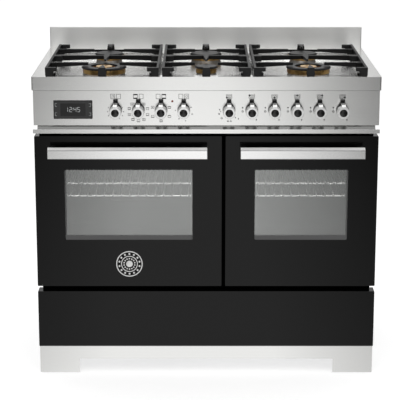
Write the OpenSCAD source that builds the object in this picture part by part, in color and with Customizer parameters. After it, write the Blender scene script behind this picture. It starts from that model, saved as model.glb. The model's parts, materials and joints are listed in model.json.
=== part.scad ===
// Range cooker with two electric ovens, a storage drawer and six gas burners.
// Lengths are in millimetres. Inside the modules X runs to the right, Z up from the floor,
// and Y is the depth behind the front edge of the hob. seated() then puts the origin on
// the floor, under the middle of the whole box.

/* [Overall] */
// Width of the hob and of the upstand behind it
hob_w = 1000; // [900:10:1200]
// Depth of the hob, front edge to back
hob_d = 600; // [590:5:720]
// Height of the hob's rim above the floor
hob_z = 895; // [880:5:960]
// Height of the upstand above the rim
upstand_h = 65; // [40:5:100]
// Thickness of the upstand
upstand_d = 12; // [8:1:25]

/* [Cabinet] */
// Thickness of the sheet steel
sheet = 1.5; // [1.2:0.1:1.8]
// How far the side panels stand in from the ends of the hob
side_inset = 14; // [12:1:25]
// How far the rear panel stands in from the back of the hob
rear_inset = 25; // [22:1:40]
// Height of the plinth, floor to the underside of the drawer
plinth_h = 85; // [70:1:110]
// Height of the band across the top of the plinth
apron_h = 41; // [20:1:50]
// Width of each of the plinth's legs
leg_w = 118; // [60:1:180]
// Radius of a levelling foot's pad
foot_r = 25; // [15:1:30]

/* [Fronts] */
// How far the doors, drawer and panel stand back from the hob's edge
front_y = 3; // [1:0.5:6]
// How far the doors and drawer stand in from the ends of the hob
front_inset = 3.5; // [2:0.5:8]
// Height of the hob's front edge
rim_h = 39; // [30:1:50]
// Height of the control panel
panel_h = 102; // [95:1:115]
// Height of the slanted steel face under the control panel
slant_h = 11.5; // [8:0.5:14]
// Height of the upright steel strip under the slanted face
trim_h = 12; // [8:0.5:16]
// Depth of a door without its handle
door_d = 42; // [38:1:50]
// Width of the right door
right_door_w = 441; // [400:1:460]
// Gap between the doors
door_gap = 10.5; // [4:0.5:14]
// Gap between the strip and the doors, where the cooling air comes out
door_top_gap = 8.5; // [6:0.5:11]
// Gap between the doors and the drawer
drawer_gap = 16.4; // [12:0.1:24]
// Height of the drawer's front
drawer_h = 170.6; // [140:0.1:180]
// Depth of the drawer's front
drawer_front_d = 41; // [12:1:43]

/* [Doors] */
// Width of the door's frame beside the window
window_side = 85.5; // [60:0.5:100]
// Depth of the frame over the window
window_top = 99.5; // [90:0.5:110]
// Height of the window
window_h = 210; // [150:1:220]
// Corner radius of the window
window_r = 4; // [2:1:20]
// Thickness of a pane
pane_t = 4; // [3:0.5:5]
// How far a handle reaches in front of the hob's edge
handle_reach = 50; // [40:1:60]
// Thickness of a handle, front to back
handle_t = 13; // [10:1:16]
// Height of a handle's flat front
handle_h = 24.7; // [18:0.1:30]
// How far a handle's ends stand in from the door's edges
handle_inset = 42.8; // [30:0.1:60]
// Distance from the door's top to the handle's top edge
handle_drop = 25; // [20:0.5:40]
// Radius of the hinge pins
hinge_pin_r = 4; // [3:0.5:5]

/* [Ovens] */
// Distance from the door's edge to the inside of the oven, left and right
oven_side = 41; // [38:1:60]
// Height of the oven's floor above the door's lower edge
oven_floor = 58; // [50:1:70]
// Height of the oven inside
oven_h = 340; // [300:5:340]
// Depth of the left oven inside
left_oven_d = 455; // [380:5:460]
// Depth of the right oven inside
right_oven_d = 430; // [350:5:450]
// Radius of the wires of the racks
wire_r = 2.2; // [1.5:0.1:3]
// Distance between a rack's bars
rack_pitch = 25; // [18:1:40]
// Height of the lower rack above the oven's floor
low_rack = 198; // [80:1:210]
// Height of the upper rack above the oven's floor
high_rack = 236; // [228:1:260]
// Radius of the fan
fan_r = 70; // [50:1:90]

/* [Controls] */
// Distance between neighbouring knobs
knob_pitch = 65; // [60:1:75]
// Distance from the middle of the cooker to the nearest knob of each group
knob_start = 65; // [40:1:80]
// Height of the knobs' axis above the panel's lower edge
knob_rise = 43.5; // [40:0.5:60]
// Radius of a knob's black skirt
skirt_r = 18; // [15:0.5:22]
// Length of a knob's black skirt
skirt_d = 8; // [6:1:12]
// How far a knob's front stands out from the panel
knob_out = 47; // [40:1:50]
// Travel of a gas knob when it is pushed in
push_travel = 3; // [2:0.5:4]
// Radius of the spindles
spindle_r = 3; // [2.5:0.5:4]
// Width of the display
display_w = 112; // [90:1:130]
// Height of the display
display_h = 54; // [40:1:60]
// Distance from the panel's left end to the display
display_inset = 58; // [40:1:80]

/* [Hob] */
// Width of the hob's flat rim at the front
flat_front = 36; // [34:1:40]
// Width of the flat rim at each side
flat_side = 35; // [30:1:60]
// Width of the flat rim at the back
flat_back = 145; // [120:1:170]
// Depth of the well that the burners stand in
well_depth = 15; // [8:1:18]
// Height of the pan supports above the rim
grate_h = 25; // [18:1:30]
// Width of the pan support in the middle
centre_grate_w = 254.6; // [220:0.2:280]
// Gap between neighbouring pan supports
grate_gap = 8.6; // [4:0.2:12]
// Distance from the rim's ends to the outer pan supports
grate_inset = 39; // [37:1:60]
// Distance from the hob's edge to the pan supports' front feet
grate_front = 8; // [6:1:14]
// Distance from the pan supports' front feet to their rear ones
grate_d = 477; // [440:1:480]
// Distance from the hob's edge to the front row of burners
front_row = 118; // [114:1:130]
// Distance from the front row of burners to the rear row
row_pitch = 262; // [240:1:270]

/* [Fits] */
// Clearance around a turning pin or spindle
running = 0.05; // [0.02:0.01:0.08]
// Clearance between parts that pass each other
clear = 0.3; // [0.3:0.1:0.5]

/* [Hidden] */
gas_names = ["front_left", "rear_left", "front_centre", "rear_centre", "rear_right", "front_right"];
oven_knob_names = ["main_thermostat", "main_selector", "second_selector", "second_thermostat"];
grate_names = ["left_grate", "centre_grate", "right_grate"];
$fn = 48;
eps = 0.01;

// Heights, from the hob down
rim_z = hob_z - rim_h;
panel_z = rim_z - panel_h;
trim_z = panel_z - slant_h - trim_h;
door_top = trim_z - door_top_gap;
drawer_top = plinth_h + drawer_h;
door_z = drawer_top + drawer_gap;
door_h = door_top - door_z;
well_z = hob_z - well_depth;

// The hob's well
well_w = hob_w - 2 * flat_side;
well_d = hob_d - flat_front - flat_back;
well_y = flat_front + well_d / 2;
rim_r = 3;            // radius of the bends at the corners of the rim and the upstand

// Widths
side_x = hob_w / 2 - side_inset;
inner_x = side_x - sheet;
front_w = hob_w - 2 * front_inset;
left_door_w = front_w - right_door_w - door_gap;
left_door_x = -front_w / 2 + left_door_w / 2;
right_door_x = front_w / 2 - right_door_w / 2;

// Depths behind the hob's edge
frame_y = front_y + door_d + 2;
rear_y = hob_d - rear_inset;
oven_y = frame_y + sheet;
trim_y = 0.5;
slant_d = 8.5;        // depth of the slanted face
box_front = -handle_reach;
box_d = hob_d + handle_reach;

// Cabinet
carcass_top = hob_z - sheet;
frame_low = drawer_top - 6;
side_fold = 18;
tray_lip = 10;
plinth_lift = 2;      // the plinth's gap to the floor
plinth_inset = 5;     // how far the plinth stands in from the ends of the hob
plinth_y = front_y + 4;
plinth_ledge = 53;    // depth of the fold along the plinth's top
stud_r = 6;
foot_x = [for (s = [-1, 1]) s * (side_x - 50)];
foot_y = [frame_y + 50, rear_y - 50];
rear_fixing_x = 400;
rear_fixing_z = 700;
fixing_r = 4;
slot_w = 60;
slot_h = 5;
slot_pitch = 14;
slot_step = 160;

// Cooling air: a duct from the blower to a slot in the front frame
duct_w = 260;
duct_h = 16;
duct_z = door_top + 2;
duct_wall = 2;

// Drawer
drawer_lift = 0.5;    // the drawer front's gap over the plinth
box_x = inner_x - 28;
box_z = plinth_h + 16;
box_top = drawer_top - 20;
box_back = rear_y - 60;
runner_z = plinth_h + 65;
runner_h = 40;

// Ovens: [middle x, width inside, depth inside]
oven_z = door_z + oven_floor;
left_oven = [left_door_x, left_door_w - 2 * oven_side, left_oven_d];
right_oven = [right_door_x, right_door_w - 2 * oven_side, right_oven_d];
oven_r = 14;
fan_gap = 4;          // gap between the fan and the oven's back wall
rack_levels = [low_rack, high_rack];
rack_back = 40;       // room left behind the racks for the fan and its cover
rack_front = 26;      // distance from the oven's mouth to a rack's front wire
rack_y = oven_y + rack_front;
guide_y = 12;         // distance from the oven's mouth to the first guide wire
guide_gap = 12;       // distance from the oven's wall to a rack
frame_wire_r = wire_r + 0.8;
rung_levels = [for (l = rack_levels) l - frame_wire_r - wire_r];
fan_z = oven_z + oven_h / 2;
lamp_neck_r = 15;
lamp_in = 50;         // distance from the oven's walls to the middle of its lamp

// Doors
hinge_y = front_y + 22;
hinge_z = door_z + 13;
hinge_inset = 34;     // distance from the door's edge to the middle of a hinge
window_z = door_top - window_top - window_h;
return_d = 13;        // depth of the folded lower edge, short of the hinge
liner_z = hinge_z + 8;
liner_y = front_y + 17;
liner_back = frame_y - 2.5;
handle_z = door_top - handle_drop;
handle_slope = 6.2;   // height of the handle's slanted top
post_w = 14;
hinge_cheek = 9;      // distance from the middle of a hinge to its brackets

// Controls
knob_z = panel_z + knob_rise;
gas_x = [for (i = [0:5]) knob_start + i * knob_pitch];
oven_knob_x = [for (i = [0:3]) -knob_start - (3 - i) * knob_pitch];
knob_gap = push_travel + 0.5;
pointer_w = 12.6;     // width of a knob's pointer
pointer_h = 32;       // height of the pointer's top over the knob's axis
flank_h = 23;         // height over the axis where the skirt's flanks meet the pointer
nose_w = 11.6;
nose_h = 23.5;
insert_r = 11.2;
insert_d = 2;
display_x = -front_w / 2 + display_inset + display_w / 2;
display_z = panel_z + panel_h / 2 - 5;
signal_x = -knob_start - knob_pitch / 2;
signal_z = knob_z + 26.5;
signal_r = 3;
collar_r = 7;         // radius of the collar that a tap or switch has in the panel's hole
tap_y = front_y + 14;
tap_l = 44;
tap_r = 11;
spindle_in = 24;      // length of a spindle inside its tap or switch
spindle_out = 24;     // length of a spindle inside its knob
manifold_y = tap_y + 24;
manifold_z = knob_z - 22;
manifold_r = 8;
pipe_r = 4;
pipe_rise = [23, 23, 46, 46, 46, 23];  // the burners' pipes cross on two levels above the taps
inlet_r = 10.48;      // outside radius of a G1/2 thread
inlet_x = side_x - 52;
inlet_z = manifold_z;

// Pan supports
grate_span = hob_w - 2 * grate_inset;
outer_grate_w = (grate_span - centre_grate_w - 2 * grate_gap) / 2;
column_x = centre_grate_w / 2 + grate_gap + outer_grate_w / 2;
grate_x = [-column_x, 0, column_x];
grate_w = [outer_grate_w, centre_grate_w, outer_grate_w];
tie_y = flat_front + 2.5;
tie_t = 5;
tie_drop = 11;        // how far the low bar hangs below the rim
lug_w = 8;
bar_h = 14;           // depth of the pan supports' bars at their roots
tip_h = 8;            // depth at their tips
bar_w = 10;
tip_w = 7;
root_l = 26;          // length of the bars' thick roots
root_cut = 5;
arm_gap = [42, 30, 42];  // distance from the column's middle to the arms' tips
finger_w = 18;
finger_l = 78;
end_finger_l = 54;
rail_w = 7;
foot_w = 24;
foot_d = 18;

// Burners: [column, row, radius, is it a dual ring]
dual_r = 65.5;
burners = [
    [-1, 0, dual_r, true],
    [-1, 1, 44, false],
    [0, 0, 33.5, false],
    [0, 1, 49, false],
    [1, 1, 44, false],
    [1, 0, dual_r, true]
];
function burner_x(b) = b[0] * column_x;
function burner_y(b) = front_row + b[1] * row_pitch;
cup_z = well_z - 24;
crown_z = well_z + 10;
cap_z = well_z + 23;
cap_t = 6;
inner_r = 27;         // radius of the small burner inside a dual ring

// ---------- helpers ----------

module seated() translate([0, -box_front - box_d / 2, 0]) children();

// Draws an outline of X and Z, from depth y back by d
module upright(y, d) translate([0, y + d, 0]) rotate([90, 0, 0]) linear_extrude(d) children();

// Draws an outline of Y and Z, from x to the right by w
module across(x, w) translate([x, 0, 0]) rotate([90, 0, 90]) linear_extrude(w) children();

module round_rect(w, h, r) {
    square([w - 2 * r, h], center = true);
    square([w, h - 2 * r], center = true);
    for (x = [-1, 1], y = [-1, 1]) translate([x * (w / 2 - r), y * (h / 2 - r)]) circle(r);
}

// A round bar from one point to another, along any one axis
module rod(p, axis, l, r) {
    turn = axis == "x" ? [0, 90, 0] : axis == "y" ? [-90, 0, 0] : [0, 0, 0];
    translate(p) rotate(turn) cylinder(r = r, h = l);
}

// ---------- cabinet ----------

// Side sheets with a fold along the back, and one in front above the drawer
module side_panels() color("silver") for (side = [0, 1]) mirror([side, 0, 0]) {
    fold_x = side_x - side_fold;
    translate([inner_x, oven_y, plinth_h]) cube([sheet, rear_y - oven_y, carcass_top - plinth_h]);
    translate([fold_x, rear_y - sheet, plinth_h]) cube([side_fold, sheet, carcass_top - plinth_h]);
    translate([fold_x, oven_y, frame_low + sheet]) cube([side_fold, sheet, carcass_top - frame_low - sheet]);
}

module rear_panel() color("silver") difference() {
    upright(rear_y, sheet) translate([0, (plinth_h + carcass_top) / 2])
        square([2 * side_x, carcass_top - plinth_h], center = true);
    // air slots low down, behind the drawer
    for (x = [-1.5:1.5], k = [0:3])
        upright(rear_y - 1, sheet + 2) translate([x * slot_step, plinth_h + 60 + k * slot_pitch])
            round_rect(slot_w, slot_h, slot_h / 2 - eps);
    rod([inlet_x, rear_y - 1, inlet_z], "y", sheet + 2, inlet_r + 1.5);
    for (s = [-1, 1])
        rod([s * rear_fixing_x, rear_y - 1, rear_fixing_z], "y", sheet + 2, fixing_r);
}

module base_tray() color("gray") {
    y = oven_y + sheet;
    d = rear_y - sheet - y;
    translate([0, 0, plinth_h]) difference() {
        translate([-inner_x, y, 0]) cube([2 * inner_x, d, tray_lip]);
        translate([-inner_x + sheet, y + sheet, sheet])
            cube([2 * (inner_x - sheet), d - 2 * sheet, tray_lip]);
        for (x = foot_x, y = foot_y) translate([x, y, -1]) cylinder(r = stud_r + 0.2, h = sheet + 2);
    }
}

module levelling_feet() color("dimgray") for (x = foot_x, y = foot_y) translate([x, y, 0]) {
    nut_h = 8;
    cylinder(r = foot_r, h = 8);
    cylinder(r1 = foot_r - 3, r2 = 14, h = 16);
    cylinder(r = stud_r, h = plinth_h + 12);
    translate([0, 0, plinth_h - nut_h]) cylinder(r = 11, h = nut_h, $fn = 6);
}

// The kick plate: a band with a leg at each end, folded back round the corners, and folded
// inwards along its top where the sides and the base tray stand on it
module plinth() color("gainsboro") {
    x = hob_w / 2 - plinth_inset;
    ledge_x = x - 30;
    h = plinth_h - plinth_lift;
    translate([0, plinth_y, plinth_lift]) difference() {
        translate([-x, 0, 0]) cube([2 * x, leg_w, h]);
        translate([-x + sheet, sheet, -sheet]) cube([2 * (x - sheet), leg_w, h]);
        translate([-ledge_x, plinth_ledge, h - 2 * sheet]) cube([2 * ledge_x, leg_w, 3 * sheet]);
        translate([-x + leg_w, -1, -1]) cube([2 * (x - leg_w), leg_w + 2, h - apron_h + 1]);
    }
}

// The enamelled plate between the ovens and their doors, with a slot for the cooling air
module front_frame() color("#181818") {
    shelf = 30;
    top = panel_z - sheet;
    difference() {
        union() {
            upright(frame_y, sheet) translate([0, (frame_low + top) / 2])
                square([2 * side_x, top - frame_low], center = true);
            translate([-inner_x, frame_y, frame_low]) cube([2 * inner_x, shelf, sheet]);
        }
        for (o = [left_oven, right_oven]) upright(frame_y - 1, sheet + 2) oven_outline(o, 0);
        upright(frame_y - 1, sheet + 2) translate([left_door_x, duct_z + duct_h / 2])
            square([duct_w, duct_h - 2 * duct_wall], center = true);
    }
}

// The steel strip over the doors: an upright face, a slanted face over it, and a flange that
// lies between the front frame's upper edge and the control panel
module trim_strip() color("silver") {
    outer = [[trim_y, trim_z], [trim_y, trim_z + trim_h], [trim_y + slant_d, panel_z], [oven_y, panel_z]];
    lean = atan2(slant_h, slant_d);
    fold_z = sheet * tan((90 - lean) / 2);
    fold_y = sheet * tan(lean / 2);
    inner = [[oven_y, panel_z - sheet], [trim_y + slant_d + fold_y, panel_z - sheet],
        [trim_y + sheet, trim_z + trim_h - fold_z], [trim_y + sheet, trim_z]];
    across(-hob_w / 2 + 1, hob_w - 2) polygon(concat(outer, inner));
}

// ---------- ovens ----------

module oven_outline(o, grow) translate([o[0], oven_z + oven_h / 2])
    round_rect(o[1] + 2 * grow, oven_h + 2 * grow, oven_r + grow);

// A pressed and welded box, open in front, with a flange that is fixed behind the front frame
module oven_cavity(o, shaft_hole) color("#505458") {
    flange = 12;
    difference() {
        union() {
            upright(oven_y, o[2] + sheet) oven_outline(o, sheet);
            upright(oven_y, sheet) oven_outline(o, flange);
        }
        upright(oven_y - 1, o[2] + 1) oven_outline(o, 0);
        if (shaft_hole > 0) rod([o[0], oven_y + o[2] - 1, fan_z], "y", sheet + 2, shaft_hole);
        rod([lamp_x(o), oven_y + o[2] - 1, oven_z + oven_h - lamp_in], "y", sheet + 2, lamp_neck_r);
    }
}
function lamp_x(o) = o[0] - o[1] / 2 + lamp_in;

module left_oven_cavity() oven_cavity(left_oven, 8);

module right_oven_cavity() oven_cavity(right_oven, 0);

// One wire shelf: a frame and bars from front to back
module rack(o, z) {
    w = o[1] - 2 * guide_gap;
    d = o[2] - rack_front - rack_back;
    n = floor((w - 20) / rack_pitch);
    x0 = o[0] - w / 2;
    for (y = [0, d]) rod([x0, rack_y + y, z], "x", w, frame_wire_r);
    for (x = [0, w]) rod([x0 + x, rack_y, z], "y", d, frame_wire_r);
    for (x = [0, w], y = [0, d]) translate([x0 + x, rack_y + y, z]) sphere(frame_wire_r);
    for (i = [0:n])
        rod([o[0] + (i - n / 2) * rack_pitch, rack_y, z + wire_r], "y", d, wire_r);
}

module oven_racks() color("silver") for (o = [left_oven, right_oven], l = rack_levels)
    rack(o, oven_z + l);

// Wire ladders on the oven's side walls that carry the racks
module rack_guides() color("silver") for (o = [left_oven, right_oven], s = [-1, 1]) {
    x = o[0] + s * (o[1] / 2 - wire_r);
    reach = guide_gap - wire_r - 2;
    past = 5;             // how far a rung runs past the uprights
    uprights = [guide_y, o[2] - rack_back - 30];
    for (y = uprights) rod([x, oven_y + y, oven_z + 40], "z", oven_h - 90, wire_r);
    for (l = rung_levels) rod([x - s * reach, oven_y + guide_y - past, oven_z + l], "y",
        uprights[1] - guide_y + 2 * past, wire_r);
    for (l = rung_levels, y = uprights)
        rod([x - (s > 0 ? reach : 0), oven_y + y, oven_z + l], "x", reach, wire_r - 0.4);
}

// A heating rod that winds to and fro under the roof, its ends through the back wall
module grill_elements() color("dimgray") for (o = [left_oven, right_oven]) {
    r = 3.2;
    z = oven_z + oven_h - 18;
    runs = 6;
    pitch = (o[1] - 100) / (runs - 1);
    near = oven_y + 60;
    far = oven_y + o[2] - 60;
    run_x = [for (i = [0:runs - 1]) o[0] + (i - (runs - 1) / 2) * pitch];
    for (i = [0:runs - 1]) {
        outer = i == 0 || i == runs - 1;
        rod([run_x[i], near, z], "y", (outer ? oven_y + o[2] : far) - near, r);
        translate([run_x[i], near, z]) sphere(r);
        if (!outer) translate([run_x[i], far, z]) sphere(r);
    }
    for (i = [0:runs - 2]) rod([run_x[i], i % 2 == 0 ? near : far, z], "x", pitch, r);
}

// The motor on the oven's back wall, with the bush that its shaft turns in
module fan_motor() color("gray") translate([left_oven[0], oven_y + left_oven_d + sheet, fan_z]) {
    can_d = 30;
    difference() {
        union() {
            rod([0, 0, 0], "y", can_d, 34);
            upright(0, 3) round_rect(120, 40, 6);
        }
        rod([0, -1, 0], "y", can_d + 2, spindle_r + running);
    }
}

// The fan wheel: a disc with straight blades, on its shaft
module oven_fan() color("silver") translate([left_oven[0], oven_y + left_oven_d - fan_gap, fan_z]) {
    blade_d = 18;
    blade_l = 23;
    hub_r = 14;
    disc_t = 1.5;
    rod([0, -blade_d, 0], "y", blade_d + fan_gap + sheet + 28, spindle_r);
    rod([0, -blade_d, 0], "y", blade_d, hub_r);
    rod([0, -disc_t, 0], "y", disc_t, fan_r);
    for (i = [0:11]) rotate([0, i * 30, 0])
        translate([fan_r - 1 - blade_l, -blade_d, -disc_t / 2]) cube([blade_l, blade_d, disc_t]);
}

// A plate on four posts over the fan, with rings of air holes
module fan_cover() color("#505458") {
    post_d = 30;
    y = oven_y + left_oven_d - post_d;
    r = fan_r + 14;
    hole_r = 4;
    translate([left_oven[0], y, fan_z]) difference() {
        union() {
            upright(0, sheet) round_rect(2 * r, 2 * r, 16);
            for (x = [-1, 1], z = [-1, 1]) rod([x * (r - 8), 0, z * (r - 8)], "y", post_d, 4);
        }
        for (k = [0:3], i = [0:5 + 6 * k]) rotate([0, i * 360 / (6 + 6 * k), 0])
            rod([12 + k * 13, -1, 0], "y", sheet + 2, hole_r);
    }
}

module door_seals() color("#303030") for (o = [left_oven, right_oven])
    difference() {
        upright(liner_back + clear, frame_y - liner_back - clear) oven_outline(o, 9);
        upright(liner_back, frame_y - liner_back + 1) oven_outline(o, 3);
    }

// A lamp holder through the back wall, with its flange and glass dome inside the oven
module oven_lamps() color("white") for (o = [left_oven, right_oven])
    translate([lamp_x(o), oven_y + o[2], oven_z + oven_h - lamp_in]) {
        flange_t = 3;
        dome_r = 17;
        rod([0, -flange_t, 0], "y", flange_t, 22);
        rod([0, -1, 0], "y", 24, lamp_neck_r - 0.5);
        translate([0, -flange_t, 0]) rotate([90, 0, 0]) rotate_extrude() intersection() {
            circle(dome_r);
            square(dome_r);
        }
    }

// The blower that draws air over the ovens, with its duct to the slot in the front frame
module cooling_blower() color("gray") {
    r = 38;
    roof_z = oven_z + oven_h + sheet;
    y = 330;
    z = duct_z + duct_h / 2;
    across(left_door_x - duct_w / 2, duct_w) difference() {
        union() {
            translate([y, z]) circle(r);
            translate([oven_y, duct_z]) square([y - oven_y, duct_h]);
        }
        translate([y, z]) circle(r - duct_wall);
        translate([oven_y - 1, duct_z + duct_wall]) square([y - oven_y, duct_h - 2 * duct_wall]);
    }
    // end plates with an air inlet, which close the duct's sides and stand on the oven's roof
    for (s = [-1, 1]) across(left_door_x + s * (duct_w + duct_wall) / 2 - duct_wall / 2, duct_wall)
        difference() {
            union() {
                translate([y, z]) circle(r);
                translate([y - r, roof_z]) square([2 * r, z - roof_z]);
                translate([oven_y, duct_z]) square([y - oven_y, duct_h]);
            }
            translate([y, z]) circle(r / 2);
        }
}

// ---------- controls ----------

// The fascia: its top hides behind the hob's edge, and its ends are folded onto the side panels
module control_panel() color("gainsboro") {
    h = carcass_top - panel_z;
    fold_x = side_x - side_fold;
    difference() {
        translate([-front_w / 2, front_y, panel_z]) cube([front_w, oven_y - front_y, h]);
        translate([-front_w / 2 + sheet, front_y + sheet, panel_z + sheet])
            cube([front_w - 2 * sheet, frame_y - front_y - sheet, h]);
        translate([-fold_x, front_y + sheet, panel_z + sheet]) cube([2 * fold_x, oven_y, h]);
        for (x = concat(gas_x, oven_knob_x))
            rod([x, front_y - 1, knob_z], "y", sheet + 2, collar_r + clear);
        rod([signal_x, front_y - 1, signal_z], "y", sheet + 2, signal_r);
        upright(front_y - 1, sheet + 2) translate([display_x, display_z])
            square([display_w - 2, display_h - 2], center = true);
    }
}

module display() color("#202020") {
    upright(front_y - 1, 1) translate([display_x, display_z]) round_rect(display_w, display_h, 1.5);
    upright(front_y, 26) translate([display_x, display_z])
        square([display_w - 6, display_h - 6], center = true);
}

module indicator_lamp() color("red") translate([signal_x, front_y - 0.5, signal_z]) {
    rod([0, 0, 0], "y", 20, signal_r - 0.1);
    sphere(signal_r - 0.1);
}

// The rotary switches and thermostats behind the oven knobs
module oven_switches() color("#404040") for (x = oven_knob_x) translate([x, 0, knob_z]) difference() {
    union() {
        upright(tap_y, 32) square(42, center = true);
        rod([0, front_y, 0], "y", tap_y - front_y, collar_r);
    }
    rod([0, front_y - 1, 0], "y", tap_y - front_y + 1 + spindle_in, spindle_r + running);
}

// The gas rail, its run to the inlet at the back, the taps and the burners' pipes
module gas_manifold() color("goldenrod") {
    left = gas_x[0] - 20;
    rod([left, manifold_y, manifold_z], "x", inlet_x - left, manifold_r);
    translate([inlet_x, manifold_y, manifold_z]) sphere(manifold_r);
    rod([inlet_x, manifold_y, inlet_z], "y", rear_y - manifold_y, manifold_r);
    rod([inlet_x, rear_y - 10, inlet_z], "y", hob_d - rear_y + 8, inlet_r);
    for (x = gas_x) gas_tap(x);
    for (i = [0:5]) burner_pipe(gas_x[i], burners[i], pipe_rise[i]);
}

module gas_tap(x) translate([x, 0, knob_z]) difference() {
    union() {
        rod([0, tap_y, 0], "y", tap_l, tap_r);
        rod([0, front_y, 0], "y", tap_y - front_y, collar_r);
        translate([0, manifold_y, manifold_z - knob_z]) cylinder(r = 7, h = knob_z - manifold_z);
    }
    rod([0, front_y - 1, 0], "y", tap_y - front_y + 2 + spindle_in + push_travel, spindle_r + running);
}

// The aluminium pipe from a tap to its burner, laid square to the cabinet
module burner_pipe(x, b, rise) {
    y0 = tap_y + tap_l + 8;
    y1 = burner_y(b);
    z = knob_z + rise;
    bx = burner_x(b);
    rod([x, tap_y + tap_l, knob_z], "y", 8, pipe_r);
    rod([x, y0, knob_z], "z", rise, pipe_r);
    rod([x, y0, z], "y", y1 - y0, pipe_r);
    rod([min(x, bx), y1, z], "x", abs(x - bx), pipe_r);
    rod([bx, y1, z], "z", cup_z - z, pipe_r);
    for (p = [[x, y0, knob_z], [x, y0, z], [x, y1, z], [bx, y1, z]]) translate(p) sphere(pipe_r);
}

// The coordinates of a knob run out from the panel: z is the distance in front of it
module knob(x) translate([x, front_y, knob_z]) rotate([90, 0, 0]) {
    body_d = knob_out - knob_gap - skirt_d;
    body_r = skirt_r - 0.5;
    bevel = 1;
    difference() {
        union() {
            // black skirt with its pointer
            color("#101010") translate([0, 0, knob_gap]) {
                cylinder(r = skirt_r, h = skirt_d);
                linear_extrude(skirt_d) pointer_outline();
            }
            // turned body with its nose
            color("gainsboro") translate([0, 0, knob_gap + skirt_d]) {
                cylinder(r1 = body_r, r2 = body_r - bevel / 2, h = body_d - bevel);
                translate([0, 0, body_d - bevel])
                    cylinder(r1 = body_r - bevel / 2, r2 = body_r - 1.5 * bevel, h = bevel);
                nose(nose_w, nose_h, body_d - bevel);
            }
        }
        translate([0, 0, knob_out - insert_d]) cylinder(r = insert_r, h = insert_d + 1);
        cylinder(r = spindle_r + running, h = spindle_out + knob_gap + 1);
    }
    color("#181818") translate([0, 0, knob_out - insert_d]) cylinder(r = insert_r, h = insert_d - 0.5);
}

// A square pointer whose flanks run down onto the skirt's round side
module pointer_outline() {
    r = skirt_r - 0.3;
    turn = atan2(pointer_w / 2, flank_h) + acos(r / norm([pointer_w / 2, flank_h]));
    x = r * sin(turn);
    polygon([[-x, r * cos(turn)], [-pointer_w / 2, flank_h], [-pointer_w / 2, pointer_h],
        [pointer_w / 2, pointer_h], [pointer_w / 2, flank_h], [x, r * cos(turn)], [0, 0]]);
}

// The nose runs level over the body and drops at the front
module nose(w, h, d) translate([-w / 2, 0, 0]) rotate([90, 0, 90]) linear_extrude(w)
    polygon([[0, 0], [h, 0], [h, d - 3], [h - 5, d], [0, d]]);

module oven_knob(i) {
    knob(oven_knob_x[i]);
    // the shaft turns with the knob and ends in the switch
    color("gray") translate([oven_knob_x[i], 0, knob_z]) oven_shaft();
}

module oven_shaft() {
    front = front_y - knob_gap - spindle_out;
    rod([0, front, 0], "y", tap_y + spindle_in - 2 - front, spindle_r);
}

// A gas spindle slides in its tap with its knob
module gas_spindle(i) color("goldenrod") {
    front = front_y - knob_gap - spindle_out;
    rod([gas_x[i], front, knob_z], "y", tap_y + spindle_in - 2 - front, spindle_r);
}

// ---------- hob ----------

module well(grow, z0, z1) {
    slope = 2;
    corner = 20;
    hull() {
        translate([0, well_y, z1]) linear_extrude(eps)
            round_rect(well_w + 2 * grow, well_d + 2 * grow, corner + grow, $fn = 32);
        translate([0, well_y, z0]) linear_extrude(eps)
            round_rect(well_w - 2 * slope + 2 * grow, well_d - 2 * slope + 2 * grow, corner + grow, $fn = 32);
    }
}

module hob_top() color("gainsboro") difference() {
    union() {
        difference() {
            translate([0, hob_d / 2, rim_z]) linear_extrude(rim_h) round_rect(hob_w, hob_d, rim_r);
            translate([0, hob_d / 2, rim_z - 1]) linear_extrude(rim_h + 1 - sheet)
                round_rect(hob_w - 2 * sheet, hob_d - 2 * sheet, rim_r - sheet);
        }
        well(sheet, well_z - sheet, hob_z - sheet);
        for (b = burners) at_burner(b, well_z) rotate_extrude()
            translate([b[2] + 7, 0]) polygon([[-3.5, -sheet / 2], [-1.5, 2], [1.5, 2], [3.5, -sheet / 2]]);
    }
    well(0, well_z, hob_z + eps);
    for (b = burners) at_burner(b, well_z - 5) cylinder(r = b[2] - 6, h = 10);
}

// The upstand, folded from one sheet and open underneath
module backsplash() color("silver") translate([0, hob_d - upstand_d / 2, hob_z]) difference() {
    linear_extrude(upstand_h) round_rect(hob_w, upstand_d, rim_r);
    translate([0, 0, -1]) linear_extrude(upstand_h - sheet + 1)
        round_rect(hob_w - 2 * sheet, upstand_d - 2 * sheet, rim_r - sheet);
}

module at_burner(b, z) translate([burner_x(b), burner_y(b), z]) children();

// The cups that hang in the hob's holes, each with a spark electrode and a flame sensor
module burner_bodies() color("darkgoldenrod") for (b = burners) {
    r = b[2];
    at_burner(b, cup_z) cylinder(r = r - 10, h = crown_z - cup_z - 4);
    at_burner(b, well_z) {
        cylinder(r1 = r - 3, r2 = r - 6, h = crown_z - well_z);
        rotate([0, 0, 135]) translate([r + 0.4, 0, 0]) {
            cylinder(r = 2.5, h = 12);
            cylinder(r = 1, h = 21);
        }
        rotate([0, 0, 45]) translate([r, 0, 0]) cylinder(r = 1.6, h = 20);
    }
}

// Brass rings with a row of flame ports; a dual ring has a brass centre with its own cap
module burner_crowns() color("goldenrod") for (b = burners) at_burner(b, crown_z) {
    h = cap_z - crown_z;
    if (b[3]) {
        crown(b[2] - 3, 44, h, 36);
        crown(inner_r - 2, 12, h - 1, 18);
        translate([0, 0, h - 1]) cylinder(r1 = inner_r - 1, r2 = inner_r - 3, h = cap_t);
    } else crown(b[2] - 3, b[2] - 14, h, 24);
}

module crown(r, r_in, h, ports) difference() {
    cylinder(r = r, h = h);
    translate([0, 0, 2]) cylinder(r = r_in, h = h);
    for (i = [0:ports - 1]) rotate([0, 0, i * 360 / ports])
        translate([r_in + 2, -0.9, h - 5]) cube([r, 1.8, 6]);
}

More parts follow.
